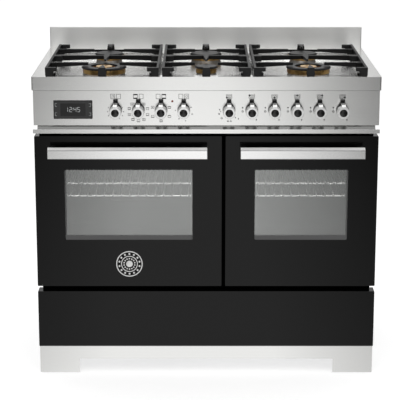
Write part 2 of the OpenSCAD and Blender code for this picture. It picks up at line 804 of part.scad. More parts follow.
// Enamelled caps: rings on the dual burners and discs on the others
module burner_caps() color("#202020") for (b = burners) at_burner(b, cap_z) difference() {
    cap(b[2]);
    if (b[3]) translate([0, 0, -1]) cylinder(r = b[2] - 26, h = cap_t + 2);
}

module cap(r) rotate_extrude() polygon([
    [0, 0], [r - 1.5, 0], [r, 1.5], [r - 0.5, 3.5], [r - 4, cap_t], [0, cap_t]]);

// A straight bar that tapers in plan and in depth, its top at z = 0
module tapered_bar(l, w0, w1, h0, h1) intersection() {
    translate([0, 0, -h0 - 1]) linear_extrude(h0 + 1)
        polygon([[0, -w0 / 2], [l, -w1 / 2], [l, w1 / 2], [0, w0 / 2]]);
    translate([0, w0, 0]) rotate([90, 0, 0]) linear_extrude(2 * w0)
        polygon([[0, -h0], [0, 0], [l, 0], [l, -h1]]);
}

// A foot that flares from the frame down to the rim
module grate_foot(z) upright(0, foot_d) translate([-foot_w / 2, 0])
    polygon([[1.5, 0], [foot_w - 1.5, 0], [foot_w, 6], [foot_w - 2, z], [2, z], [0, 6]]);

// The thick root of a bar, from the edge at x = 0 inwards, with its corners cut off
module bar_root(l, w, h) linear_extrude(h) polygon([[0, -w / 2], [l - root_cut, -w / 2],
    [l, -w / 2 + root_cut], [l, w / 2 - root_cut], [l - root_cut, w / 2], [0, w / 2]]);

// A cast pan support for two burners, one behind the other
module grate(k) color("#181818") translate([grate_x[k], grate_front, hob_z]) {
    w = grate_w[k];
    arm_y = [front_row - grate_front - 6, grate_d - (front_row - grate_front) + 5];
    mid_y = grate_d / 2;
    arm_l = w / 2 - rail_w - arm_gap[k];
    top = grate_h;
    // side rails and their feet
    for (s = [-1, 1]) {
        translate([s > 0 ? w / 2 - rail_w : -w / 2, 0, top - bar_h]) cube([rail_w, grate_d, bar_h]);
        for (y = [0, grate_d - foot_d]) translate([s * (w / 2 - foot_w / 2), y, 0]) grate_foot(top - 4);
        for (y = [foot_d / 2 - 2, grate_d - foot_d / 2 - 2])
            translate([s * w / 2, y, top - bar_h + 3]) rotate([0, 0, s > 0 ? 180 : 0])
                bar_root(root_l + 8, foot_d - 4, bar_h - 3);
        // the arms over each burner's sides, with thick roots
        for (y = arm_y) {
            translate([s * (w / 2 - rail_w / 2), y, top]) rotate([0, 0, s > 0 ? 180 : 0])
                tapered_bar(arm_l, bar_w, tip_w, bar_h + 1, tip_h);
            translate([s * w / 2, y, top - bar_h - 2]) rotate([0, 0, s > 0 ? 180 : 0])
                bar_root(root_l, bar_w + 8, bar_h);
        }
    }
    // the bar across the middle, shallower at its centre
    for (turn = [0, 180]) translate([0, mid_y, 0]) rotate([0, 0, turn]) translate([-w / 2, 0, 0]) {
        translate([0, 0, top]) tapered_bar(w / 2, bar_w, bar_w, bar_h + 2, tip_h + 2);
        translate([0, 0, top - bar_h - 3]) bar_root(root_l + 4, bar_w + 18, bar_h + 3);
    }
    // pointed fingers over both burners
    for (turn = [-90, 90]) translate([0, mid_y, top]) rotate([0, 0, turn])
        tapered_bar(finger_l, finger_w, 3, tip_h + 4, tip_h - 2);
    // middle feet and their fingers
    for (e = [0, 1]) translate([0, e * grate_d, 0]) mirror([0, e, 0]) {
        grate_foot(top - 3);
        translate([0, 0, top]) rotate([0, 0, 90])
            tapered_bar(end_finger_l, finger_w + 2, 3, tip_h + 4, tip_h - 2);
    }
    // the low bars that tie the feet together
    for (x = [-1, 0, 1]) translate([x * (w / 2 - foot_w) - lug_w / 2, foot_d - 4, 0]) tie_lug();
    translate([-w / 2 + 20, tie_y - grate_front, -tie_drop]) cube([w - 40, tie_t, 9]);
    translate([-w / 2 + 8, grate_d - 10, 2]) cube([w - 16, 6, 7]);
}

// Reaches over the edge of the well, down to the low tie bar
module tie_lug() {
    reach = tie_y - grate_front - foot_d + 4;
    across(0, lug_w) polygon([[0, 1], [reach, 1], [reach, -tie_drop], [reach + tie_t, -tie_drop],
        [reach + tie_t, 5], [reach + tie_t - 2, 7], [0, 7]]);
}

// ---------- doors ----------

module door_outline(x, w, grow, r) translate([x, door_z + door_h / 2])
    round_rect(w + 2 * grow, door_h + 2 * grow, r);

module window_outline(x, w, grow) translate([x, window_z + window_h / 2])
    round_rect(w - 2 * window_side + 2 * grow, window_h + 2 * grow, window_r + max(grow, 0));

// The enamelled outer shell, folded back all round and short at the hinges
module door_panel(x, w) color("#151515") difference() {
    upright(front_y, door_d - 1) door_outline(x, w, 0, 2.5);
    upright(front_y + sheet, door_d) door_outline(x, w, -sheet, 1);
    upright(front_y - 1, sheet + 2) window_outline(x, w, 0);
    translate([x - w, front_y + return_d, door_z - 1]) cube([2 * w, door_d, liner_z - 3 - door_z]);
}

// The inner pan with its own window, and the barrels that turn on the hinge pins
module door_frame(x, w) color("#303030") {
    wi = w - 2 * sheet;
    hi = door_top - sheet - liner_z;
    difference() {
        upright(liner_y, liner_back - liner_y) translate([x, liner_z + hi / 2]) round_rect(wi, hi, 6);
        upright(liner_y - 1, liner_back - liner_y - sheet + 1) translate([x, liner_z + hi / 2])
            round_rect(wi - 2 * sheet, hi - 2 * sheet, 6);
        upright(liner_y, door_d) window_outline(x, w, -4);
    }
    for (s = hinge_places(w)) difference() {
        union() {
            rod([x + s - 7, hinge_y, hinge_z], "x", 14, hinge_pin_r + 3.5);
            translate([x + s - 7, hinge_y - 3, hinge_z]) cube([14, 6, liner_z - hinge_z + sheet]);
        }
        rod([x + s - 8, hinge_y, hinge_z], "x", 16, hinge_pin_r + running);
    }
}

function hinge_places(w) = [-w / 2 + hinge_inset, w / 2 - hinge_inset];

module door_glass(x, w) color("gray", 0.4) {
    upright(front_y + sheet, pane_t) window_outline(x, w, 14);
    upright(liner_back - sheet - pane_t, pane_t) window_outline(x, w, 10);
}

module door_handle(x, w) color("gainsboro") {
    lw = w - 2 * handle_inset;
    y0 = -handle_reach;
    z1 = handle_z;
    z0 = z1 - handle_h - handle_slope;
    across(x - lw / 2, lw) polygon([
        [y0, z0], [y0, z0 + handle_h], [y0 + 1, z0 + handle_h], [y0 + 1, z0 + handle_h + 0.8],
        [y0 + handle_t, z1], [y0 + handle_t, z0]]);
    for (s = [-1, 1]) translate([x + s * (lw / 2 - 10) - post_w / 2, y0 + handle_t, z0 + 3])
        cube([post_w, front_y - y0 - handle_t, handle_h - 4]);
}

// Brackets on the front frame with the pins that the doors turn on
module door_hinges() color("silver") for (d = [[left_door_x, left_door_w], [right_door_x, right_door_w]])
    for (s = hinge_places(d[1])) {
        plate_t = 3;
        pin_l = 2 * hinge_cheek - 1;
        x = d[0] + s;
        rod([x - pin_l / 2, hinge_y, hinge_z], "x", pin_l, hinge_pin_r);
        for (p = [-1, 1]) across(x + p * hinge_cheek - plate_t / 2, plate_t) {
            translate([hinge_y, hinge_z]) circle(hinge_pin_r + 3);
            translate([hinge_y, hinge_z - hinge_pin_r - 3]) square([frame_y - hinge_y, 2 * hinge_pin_r + 6]);
        }
    }

// ---------- drawer ----------

// The enamelled front, folded back all round
module drawer_front() color("#151515") difference() {
    upright(front_y, drawer_front_d) drawer_outline(0, 2.5);
    upright(front_y + sheet, drawer_front_d) drawer_outline(-sheet, 1);
}

module drawer_outline(grow, r) translate([0, drawer_top - (drawer_h - drawer_lift) / 2])
    round_rect(front_w + 2 * grow, drawer_h - drawer_lift + 2 * grow, r);

module drawer_box() color("gray") {
    y0 = front_y + sheet;
    difference() {
        translate([-box_x, y0, box_z]) cube([2 * box_x, box_back - y0, box_top - box_z]);
        translate([-box_x + sheet, y0 + sheet, box_z + sheet])
            cube([2 * (box_x - sheet), box_back - y0 - 2 * sheet, box_top]);
    }
    // the moving half of each runner
    for (s = [-1, 1]) {
        reach = inner_x - sheet - clear - box_x;
        z0 = runner_z + sheet + clear;
        z1 = runner_z + runner_h - 2 * sheet - clear;
        for (z = [z0, z1]) translate([s > 0 ? box_x : -box_x - reach, frame_y + 30, z])
            cube([reach, box_back - frame_y - 30, sheet]);
        translate([s > 0 ? box_x : -box_x - sheet, frame_y + 30, z0])
            cube([sheet, box_back - frame_y - 30, z1 - z0]);
    }
}

module drawer_runners() color("silver") for (s = [-1, 1])
    translate([0, frame_y + 22, 0]) rotate([-90, 0, 0]) linear_extrude(box_back - frame_y - 22) {
        lip = inner_x - box_x - sheet - 1;
        translate([s > 0 ? inner_x - sheet : -inner_x, -runner_z - runner_h]) square([sheet, runner_h]);
        for (z = [-runner_z - runner_h, -runner_z - sheet])
            translate([s > 0 ? inner_x - lip : -inner_x, z]) square([lip, sheet]);
    }

// The mains terminals, with the entry for a cable in its lower side
module terminal_box() color("#202020") {
    w = 90;
    h = 70;
    z = plinth_h + 50;
    x = -side_x + 60;
    gland_r = 10.5;
    entry_r = 7.5;
    d = hob_d - rear_y - sheet - 0.5;
    difference() {
        union() {
            translate([x, rear_y + sheet, z]) cube([w, d, h]);
            translate([x + w / 2, rear_y + sheet + d / 2, z - 16]) cylinder(r = gland_r, h = 16);
        }
        translate([x + w / 2, rear_y + sheet + d / 2, z - 17]) cylinder(r = entry_r, h = 21);
    }
}

// ---------- the assembly ----------

seated() side_panels();
seated() rear_panel();
seated() base_tray();
seated() front_frame();
seated() trim_strip();
seated() plinth();
seated() levelling_feet();
seated() drawer_runners();
seated() left_oven_cavity();
seated() right_oven_cavity();
seated() oven_racks();
seated() rack_guides();
seated() grill_elements();
seated() fan_motor();
seated() fan_cover();
seated() oven_fan();
seated() door_seals();
seated() oven_lamps();
seated() cooling_blower();
seated() control_panel();
seated() display();
seated() indicator_lamp();
seated() oven_switches();
seated() gas_manifold();
seated() hob_top();
seated() backsplash();
seated() burner_bodies();
seated() burner_crowns();
seated() burner_caps();
seated() terminal_box();
seated() door_hinges();
seated() door_panel(left_door_x, left_door_w);  // left_door_panel
seated() door_frame(left_door_x, left_door_w);  // left_door_frame
seated() door_glass(left_door_x, left_door_w);  // left_door_glass
seated() door_handle(left_door_x, left_door_w);  // left_door_handle
seated() door_panel(right_door_x, right_door_w);  // right_door_panel
seated() door_frame(right_door_x, right_door_w);  // right_door_frame
seated() door_glass(right_door_x, right_door_w);  // right_door_glass
seated() door_handle(right_door_x, right_door_w);  // right_door_handle
seated() drawer_front();
seated() drawer_box();
for (k = [0:2])
    seated() grate(k);
for (i = [0:3])
    seated() oven_knob(i);
for (i = [0:5])
    seated() knob(gas_x[i]);
for (i = [0:5])
    seated() gas_spindle(i);
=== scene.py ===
"""Looks of the range cooker: surface finishes, printed marks, small trim, light and camera."""
import json
import math

import bmesh
import bpy
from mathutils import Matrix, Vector


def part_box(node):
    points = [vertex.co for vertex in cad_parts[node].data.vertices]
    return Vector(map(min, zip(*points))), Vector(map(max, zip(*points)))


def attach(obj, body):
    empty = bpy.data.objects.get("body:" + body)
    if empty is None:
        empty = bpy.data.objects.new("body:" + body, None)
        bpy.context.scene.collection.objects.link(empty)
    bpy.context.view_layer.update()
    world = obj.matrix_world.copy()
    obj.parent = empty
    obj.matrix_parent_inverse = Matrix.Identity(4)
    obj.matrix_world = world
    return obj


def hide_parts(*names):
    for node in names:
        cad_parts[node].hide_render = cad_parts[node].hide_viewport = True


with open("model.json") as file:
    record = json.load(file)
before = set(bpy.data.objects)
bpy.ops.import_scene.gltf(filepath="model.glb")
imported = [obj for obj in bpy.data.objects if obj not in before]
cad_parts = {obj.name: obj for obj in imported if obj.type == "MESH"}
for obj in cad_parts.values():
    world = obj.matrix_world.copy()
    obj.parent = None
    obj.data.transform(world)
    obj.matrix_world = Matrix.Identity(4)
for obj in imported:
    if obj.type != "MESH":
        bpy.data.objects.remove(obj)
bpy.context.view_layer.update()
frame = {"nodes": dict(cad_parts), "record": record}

NODES = frame["nodes"]
MM = 0.001

# sizes and places on the front, in millimetres
KNOB_SKIRT = 8.02               # depth of a knob's black skirt and a small margin
HANDLE_EDGE = 6.6               # the painted shade line along a handle's edge, under its highest point
SHADE_PAINTED_FOLD = 12                 # how far back the side panels' front edge is painted black, as shade in the gaps around the doors
ICON_Z = 838                    # middle of the icons over the knobs
MARK_Z = 799.5                  # height from which the gas knobs' marks are placed
RING_Z = 793.0                  # height from which the main thermostat's dots are placed
MEDALLION = (-225.5, 340.0)     # middle of the medallion
WINDOWS = {"left": ((-411.0, 412.5), (-40.5, 622.5)), "right": ((141.0, 412.5), (411.0, 622.5))}
RACK_SPANS = ((-225.75, 217.75), (276.0, 167.5))    # each oven's racks: middle, half width
WIRE_PITCH = 25                 # between the racks' long wires
WIRE_R = 2.2                    # radius of the racks' long wires
STEEL_WARMTH = 0.985            # the steel's blue against its red and green


# ---------- materials ----------


class Finish:
    """A material under construction: its node tree and its Principled shader."""

    def __init__(self, name, **sockets):
        self.material = bpy.data.materials.new(name)
        self.material.use_nodes = True
        self.tree = self.material.node_tree
        self.shader = self.tree.nodes["Principled BSDF"]
        for socket, value in sockets.items():
            self.shader.inputs[socket.replace("_", " ")].default_value = value

    def add(self, kind, inputs=None, **settings):
        """Adds a node; an input is a number, a colour or another node's output."""
        node = self.tree.nodes.new("ShaderNode" + kind)
        for key, value in settings.items():
            setattr(node, key, value)
        for key, value in (inputs or {}).items():
            self.feed(node, key, value)
        return node

    def feed(self, node, key, value):
        if isinstance(value, bpy.types.NodeSocket):
            self.tree.links.new(value, node.inputs[key])
        else:
            node.inputs[key].default_value = value

    def place(self, scale=(1, 1, 1)):
        """The point on the object, in metres, stretched by scale."""
        coords = self.add("TexCoord")
        mapping = self.add("Mapping", {"Vector": coords.outputs["Object"], "Scale": scale})
        return mapping.outputs["Vector"]

    def noise(self, scale, stretch=(1, 1, 1), detail=3.0, rough=0.5):
        node = self.add("TexNoise", {"Vector": self.place(stretch), "Scale": scale,
                                     "Detail": detail, "Roughness": rough})
        return node.outputs["Fac"]

    def cells(self, scale, output="Distance"):
        node = self.add("TexVoronoi", {"Vector": self.place(), "Scale": scale})
        return node.outputs[output]

    def span(self, value, low, high, start=0.0, end=1.0):
        """Maps value from start..end to low..high."""
        node = self.add("MapRange", {"Value": value, "From Min": start, "From Max": end,
                                     "To Min": low, "To Max": high})
        return node.outputs["Result"]

    def mix(self, factor, a, b):
        node = self.add("Mix", data_type="RGBA")
        for key, value in (("Factor", factor), ("A", a), ("B", b)):
            socket = next(s for s in node.inputs if s.name == key and s.enabled)
            if isinstance(value, bpy.types.NodeSocket):
                self.tree.links.new(value, socket)
            else:
                socket.default_value = value
        return next(s for s in node.outputs if s.enabled)

    def math(self, operation, a, b=0.0):
        node = self.add("Math", operation=operation)
        self.feed(node, 0, a)
        self.feed(node, 1, b)
        return node.outputs["Value"]

    def axis(self, letter):
        split = self.add("SeparateXYZ", {"Vector": self.place()})
        return split.outputs[letter]

    def colour(self, value):
        self.feed(self.shader, "Base Color", value)

    def roughness(self, value):
        self.feed(self.shader, "Roughness", value)

    def surface(self, height=None, depth=0.0, bevel=0.0):
        """Small relief from a height value, over edges softened by bevel, both in metres."""
        normal = None
        if bevel:
            normal = self.add("Bevel", {"Radius": bevel}, samples=4).outputs["Normal"]
        if height is not None:
            bump = self.add("Bump", {"Height": height, "Distance": depth, "Strength": 1.0})
            if normal is not None:
                self.feed(bump, "Normal", normal)
            normal = bump.outputs["Normal"]
        if normal is not None:
            self.feed(self.shader, "Normal", normal)


def grey(level):
    return (level, level, level, 1.0)


def brushed_steel(name, level, low, high, along=(10, 1100, 1100), metal=1.0):
    """Stainless sheet, brushed along its first axis."""
    f = Finish(name, Metallic=metal)
    lines = f.noise(1.0, along, detail=4.0)
    cloud = f.noise(5.0, detail=2.0)
    tone = f.math("ADD", f.span(lines, -0.05, 0.05), f.span(cloud, -0.02, 0.02))
    dark = (level * 0.96, level * 0.96, level * 0.955 * STEEL_WARMTH, 1.0)
    light = (level, level, level * STEEL_WARMTH, 1.0)
    f.colour(f.mix(f.span(tone, 0.0, 1.0, -0.05, 0.05), dark, light))
    f.roughness(f.math("ADD", f.span(lines, low, high), f.span(cloud, -0.02, 0.02)))
    f.surface(lines, 0.000004, bevel=0.0006)
    return f.material


def galvanised(name="galvanised_sheet", shade_paint_before=None):
    """Zinc spangle; the sheet in front of the given depth is painted black, as painted shade where
    the side panels show in the gaps around the doors.
    """
    f = Finish(name, Metallic=1.0)
    spangle = f.cells(55.0, "Color")
    fine = f.noise(240.0)
    sheet = f.mix(f.span(spangle, 0.15, 0.85), grey(0.42), (0.60, 0.61, 0.63, 1.0))
    if shade_paint_before is not None:
        # painted shade: the sheet's front edge is blacked where it shows in the gaps around the
        # doors
        shade_painted = f.math("LESS_THAN", f.axis("Y"), shade_paint_before)
        sheet = f.mix(shade_painted, sheet, grey(0.004))
        f.feed(f.shader, "Metallic", f.span(shade_painted, 1.0, 0.0))
    f.colour(sheet)
    f.roughness(f.math("ADD", f.span(spangle, 0.30, 0.48), f.span(fine, -0.03, 0.03)))
    f.surface(fine, 0.00003, bevel=0.0005)
    return f.material


def black_enamel():
    """Gloss enamel on sheet steel, with its faint orange peel."""
    f = Finish("black_enamel", Specular_IOR_Level=0.25)
    peel = f.noise(260.0, detail=2.0)
    broad = f.noise(7.0, detail=2.0)
    f.colour(f.mix(broad, grey(0.0010), (0.0018, 0.0018, 0.0017, 1.0)))
    f.roughness(f.span(broad, 0.10, 0.16))
    f.surface(peel, 0.00001, bevel=0.0012)
    return f.material


def vitreous_enamel(name, base, fleck):
    """Oven enamel: a gloss ground with fine pale flecks."""
    f = Finish(name, Specular_IOR_Level=0.5)
    dots = f.span(f.cells(620.0), 1.0, 0.0, 0.12, 0.22)
    picked = f.math("GREATER_THAN", f.noise(400.0), 0.52)
    cloud = f.noise(12.0)
    ground = f.mix(cloud, grey(base * 0.85), grey(base * 1.1))
    f.colour(f.mix(f.math("MULTIPLY", dots, picked), ground, grey(fleck)))
    rough = 0.22
    f.roughness(f.span(cloud, rough * 0.8, rough * 1.3))
    f.surface(f.noise(300.0), 0.00002, bevel=0.0010)
    return f.material


def cast_iron(name, base, low, high, grain):
    """Enamelled casting: sand grain under a satin coat, paler where edges rub."""
    f = Finish(name, Specular_IOR_Level=0.10)
    sand = f.noise(1300.0, detail=4.0, rough=0.6)
    lumps = f.noise(170.0, detail=2.0)
    wear = f.add("NewGeometry").outputs["Pointiness"]
    rubbed = f.span(wear, 0.0, 0.35, 0.53, 0.62)
    ground = f.mix(lumps, grey(base * 0.8), grey(base * 1.25))
    f.colour(f.mix(rubbed, ground, grey(base * 5)))
    f.roughness(f.math("ADD", f.span(sand, low, high), f.span(lumps, -0.04, 0.04)))
    relief = f.math("ADD", f.math("MULTIPLY", sand, 0.4), lumps)
    f.surface(relief, grain, bevel=0.0010)
    return f.material


def brass():
    """Brass that the flames have browned in places."""
    f = Finish("turned_brass", Metallic=1.0)
    stain = f.noise(45.0, detail=4.0, rough=0.6)
    turned = f.noise(1.0, (250, 250, 2600), detail=2.0)
    f.colour(f.mix(f.span(stain, 0.0, 1.0, 0.38, 0.68), (0.80, 0.52, 0.20, 1.0),
                   (0.36, 0.20, 0.07, 1.0)))
    f.roughness(f.math("ADD", f.span(stain, 0.22, 0.38), f.span(turned, -0.04, 0.04)))
    f.surface(turned, 0.00002, bevel=0.0004)
    return f.material


def burner_metal():
    """Heat-stained metal of the burner cups and their electrodes."""
    f = Finish("burner_cup_metal", Metallic=1.0)
    stain = f.noise(60.0, detail=4.0)
    f.colour(f.mix(f.span(stain, 0.0, 1.0, 0.35, 0.7), (0.52, 0.50, 0.47, 1.0),
                   (0.30, 0.24, 0.18, 1.0)))
    f.roughness(f.span(stain, 0.32, 0.5))
    f.surface(f.noise(500.0), 0.00004, bevel=0.0005)
    return f.material


def chrome_wire():
    f = Finish("chromed_wire", Metallic=0.6)
    haze = f.noise(90.0, detail=2.0)
    f.colour(f.mix(haze, (0.74, 0.74, 0.73, 1.0), (0.88, 0.88, 0.87, 1.0)))
    f.roughness(f.span(haze, 0.24, 0.36))
    f.surface(haze, 0.00001)
    return f.material


def knob_finish(skirt_y):
    """Satin chrome in front of skirt_y and black enamel behind it."""
    f = Finish("knob_chrome_and_black", Specular_IOR_Level=0.2)
    front = f.math("LESS_THAN", f.axis("Y"), skirt_y)
    turned = f.noise(1.0, (60, 900, 900), detail=2.0)
    f.colour(f.mix(front, grey(0.004), (0.93, 0.93, 0.92, 1.0)))
    f.feed(f.shader, "Metallic", f.span(front, 0.0, 0.6))
    f.roughness(f.math("ADD", f.span(front, 0.35, 0.20), f.span(turned, -0.03, 0.03)))
    f.surface(turned, 0.00001, bevel=0.0005)
    return f.material


def handle_finish(edge_z):
    """Polished bar with a painted shade line at edge_z, where the front face meets the sloped top,
    and a duller sloped top over it.
    """
    f = Finish("handle_steel", Metallic=1.0)
    lines = f.noise(1.0, (8, 900, 900), detail=3.0)
    height = f.axis("Z")
    away = f.math("ABSOLUTE", f.math("SUBTRACT", height, edge_z))
    line = f.span(away, 1.0, 0.0, 0.0006, 0.0012)
    face = f.mix(lines, (0.97, 0.97, 0.96, 1.0), (1.0, 1.0, 0.99, 1.0))
    # painted shade: the grey line at edge_z stands for the shade in the crease between the front
    # face and the sloped top
    f.colour(f.mix(line, face, grey(0.45)))
    top = f.math("GREATER_THAN", height, edge_z)
    f.feed(f.shader, "Metallic", f.span(top, 1.0, 0.4))
    f.roughness(f.math("ADD", f.span(top, 0.15, 0.55), f.span(lines, 0.0, 0.06)))
    f.surface(lines, 0.000003, bevel=0.0005)
    return f.material


def satin_silver():
    """Silvered relief with a soft, even sheen."""
    f = Finish("satin_silver", Metallic=0.45)
    haze = f.noise(700.0, detail=2.0)
    f.colour(f.mix(haze, (0.78, 0.78, 0.77, 1.0), (0.90, 0.90, 0.89, 1.0)))
    f.roughness(f.span(haze, 0.26, 0.38))
    f.surface(haze, 0.00001)
    return f.material


def tinted_glass(inner_y):
    """Oven window: mirror-like tinted glass in front of inner_y, clearer glass behind it."""
    f = Finish("tinted_window_glass", Metallic=1.0)
    haze = f.noise(3.0, detail=1.0)
    f.colour(f.mix(haze, (0.46, 0.47, 0.46, 1.0), (0.52, 0.53, 0.52, 1.0)))
    f.roughness(f.span(haze, 0.02, 0.05))
    inner = f.math("GREATER_THAN", f.axis("Y"), inner_y)
    f.feed(f.shader, "Alpha", f.span(inner, 0.38, 0.05))
    return f.material


def polished_steel():
    """The slanted face over the doors, smooth enough to mirror the knobs; its dark base colour is
    painted shade under the control panel.
    """
    f = Finish("polished_strip_steel", Metallic=1.0)
    lines = f.noise(1.0, (8, 700, 700), detail=3.0)
    haze = f.noise(9.0, detail=2.0)
    # painted shade: the dark base colour stands for the shade under the control panel
    f.colour(f.mix(haze, (0.25, 0.25, 0.245, 1.0), (0.30, 0.30, 0.295, 1.0)))
    f.roughness(f.span(lines, 0.08, 0.16))
    f.surface(lines, 0.00001)
    return f.material


def smooth_plastic(name, base, rough, grain=0.00003, level=0.4):
    f = Finish(name, Specular_IOR_Level=level)
    grit = f.noise(1500.0, detail=2.0)
    f.colour(f.mix(f.noise(25.0), grey(base * 0.85), grey(base * 1.15)))
    f.roughness(f.span(grit, rough * 0.9, rough * 1.15))
    f.surface(grit, grain, bevel=0.0006)
    return f.material


def red_lens():
    f = Finish("red_signal_lens", Transmission_Weight=0.2, Emission_Strength=0.08)
    glow = f.noise(300.0)
    tone = f.mix(glow, (0.22, 0.035, 0.012, 1.0), (0.34, 0.06, 0.02, 1.0))
    f.colour(tone)
    f.feed(f.shader, "Emission Color", tone)
    f.roughness(f.span(glow, 0.12, 0.2))
    return f.material


def frosted_glass():
    f = Finish("frosted_lamp_glass", Transmission_Weight=0.5)
    frost = f.noise(700.0)
    f.colour(f.mix(frost, (0.80, 0.79, 0.74, 1.0), (0.92, 0.91, 0.87, 1.0)))
    f.roughness(f.span(frost, 0.3, 0.5))
    f.surface(frost, 0.00002)
    return f.material


def heated_tube():
    """Grill element: dark steel with straw and blue heat tints."""
    f = Finish("heat_tinted_tube", Metallic=0.8)
    heat = f.noise(14.0, detail=3.0)
    blued = f.span(heat, 0.0, 1.0, 0.35, 0.65)
    f.colour(f.mix(blued, (0.10, 0.075, 0.055, 1.0), (0.07, 0.08, 0.10, 1.0)))
    f.roughness(f.span(heat, 0.38, 0.55))
    f.surface(f.noise(900.0), 0.00003)
    return f.material


def ink(name, base):
    f = Finish(name, Specular_IOR_Level=0.3)
    f.colour(f.mix(f.noise(900.0), grey(base * 0.8), grey(base * 1.2)))
    f.roughness(f.span(f.noise(1200.0), 0.42, 0.55))
    return f.material


def lit_ink(name, tone):
    """A mark on the display that gives its own light."""
    f = Finish(name, Emission_Strength=0.9)
    glow = f.mix(f.noise(600.0), tone, tuple(0.9 * c for c in tone[:3]) + (1.0,))
    f.colour(glow)
    f.feed(f.shader, "Emission Color", glow)
    f.roughness(f.span(f.noise(900.0), 0.35, 0.45))
    return f.material


panel_lo, panel_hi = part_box("control_panel")
knob_lo, knob_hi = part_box("front_left_knob")
face_y = panel_lo.y
knob_r = (knob_hi.x - knob_lo.x) / 2
skirt_y = knob_hi.y - KNOB_SKIRT * MM
inner_pane_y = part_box("left_door_frame")[0].y

steel = brushed_steel("brushed_steel", 0.98, 0.17, 0.24)
handle_steel = handle_finish(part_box("left_door_handle")[1].z - HANDLE_EDGE * MM)
upstand_steel = brushed_steel("upstand_steel", 0.98, 0.32, 0.42, metal=0.77)
plinth_steel = brushed_steel("plinth_steel", 0.86, 0.17, 0.24)
plain_steel = brushed_steel("machine_steel", 0.62, 0.28, 0.42, along=(60, 60, 900))
zinc = galvanised()
enamel = black_enamel()
liner = vitreous_enamel("door_liner_enamel", 0.012, 0.10)
cavity = vitreous_enamel("oven_cavity_enamel", 0.045, 0.22)
grates = cast_iron("grate_enamel", 0.010, 0.30, 0.48, 0.00010)
caps = cast_iron("cap_enamel", 0.012, 0.26, 0.40, 0.00004)
crown_brass = brass()
cup_metal = burner_metal()
wire = chrome_wire()
knob_skin = knob_finish(skirt_y)
window = tinted_glass(inner_pane_y)
shaded_strip_steel = polished_steel()
display_black = smooth_plastic("display_black", 0.010, 0.16, 0.00001, level=0.5)
black_plastic = smooth_plastic("black_plastic", 0.020, 0.45)
rubber = smooth_plastic("seal_rubber", 0.015, 0.7, 0.0001, level=0.25)
lens = red_lens()
lamp_glass = frosted_glass()
element = heated_tube()
black_ink = ink("black_ink", 0.010)
grey_ink = ink("grey_ink", 0.030)
white_light = lit_ink("display_light", (0.36, 0.37, 0.37, 1.0))

FINISHES = {
    "brushed_steel": steel,
    "galvanised": zinc,
    "black_enamel": enamel,
    "grey_enamel": cavity,
    "door_liner": liner,
    "cast_iron": grates,
    "burner_cap": caps,
    "brass": crown_brass,
    "chromed_wire": wire,
    "knob_metal": knob_skin,
    "handle_steel": handle_steel,
    "window_glass": window,
    "display_glass": display_black,
    "red_lens": lens,
    "lamp_glass": lamp_glass,
    "element_steel": element,
    "machine_steel": plain_steel,
    "gasket": rubber,
    "black_plastic": black_plastic,
}


def dress(node, material):
    for slot in NODES[node].material_slots:
        slot.material = material


for part in frame["record"]["subparts"]:
    dress(part["node"], FINISHES[part["material_slot"]])
dress("burner_bodies", cup_metal)
dress("backsplash", upstand_steel)
dress("plinth", plinth_steel)
# the side panels' front fold is painted black, as shade in the gaps around the doors
fold_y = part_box("side_panels")[0].y + SHADE_PAINTED_FOLD * MM
dress("side_panels", galvanised("side_panel_sheet", fold_y))
# painted shade: the front frame is a near-lightless black so the gaps around the doors, drawer and
# strip read as shade
dress("front_frame", smooth_plastic("frame_painted_shade_black", 0.0015, 0.6, 0.00001, level=0.03))
dress("oven_fan", element)
dress("fan_cover", liner)


# ---------- small pieces ----------


